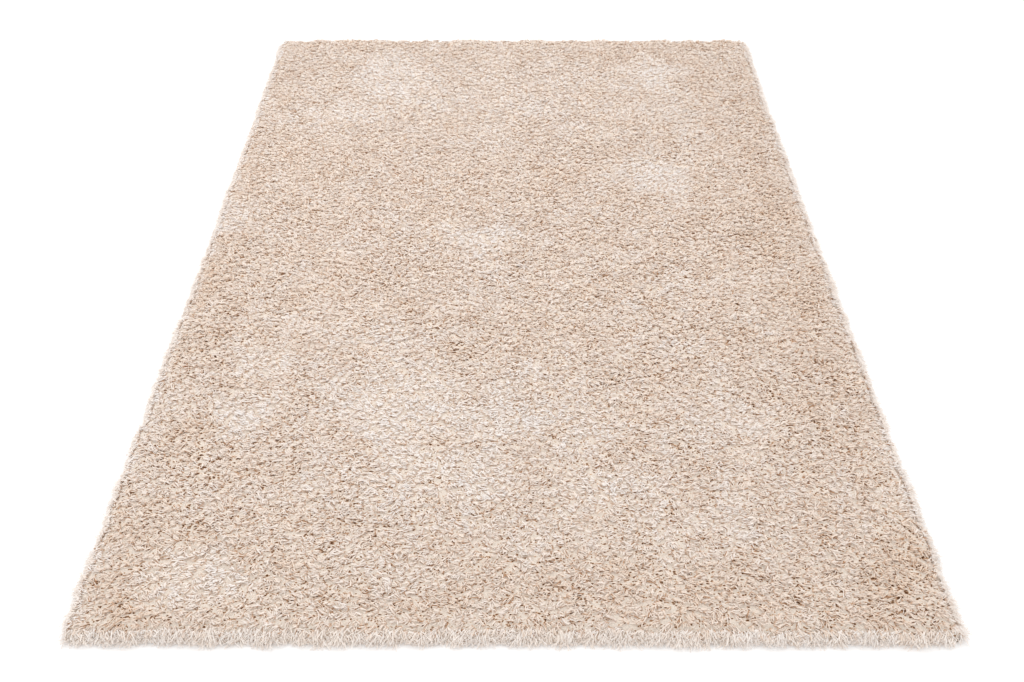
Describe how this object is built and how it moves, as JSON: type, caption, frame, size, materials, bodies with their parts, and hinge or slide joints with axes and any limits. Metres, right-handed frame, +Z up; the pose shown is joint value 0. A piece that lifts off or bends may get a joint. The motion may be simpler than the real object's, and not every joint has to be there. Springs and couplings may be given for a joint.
{
  "type": "shag rug",
  "caption": "Rectangular beige shag rug with a deep, lumpy yarn pile, locks leaning out all round its rim and a flat underside to lie on a floor.",
  "frame": {"origin": "middle of the flat underside, on the floor", "axes": "+X across the rug's width, +Y along its length, +Z up out of the floor"},
  "size_m": [1.6402, 2.3402, 0.0457],
  "materials": {
    "pile_yarn": "matt beige pile yarn, warm brown in the gaps between the tufts"
  },
  "bodies": {
    "root": {"shag_rug": "pile_yarn"}
  },
  "joints": []
}
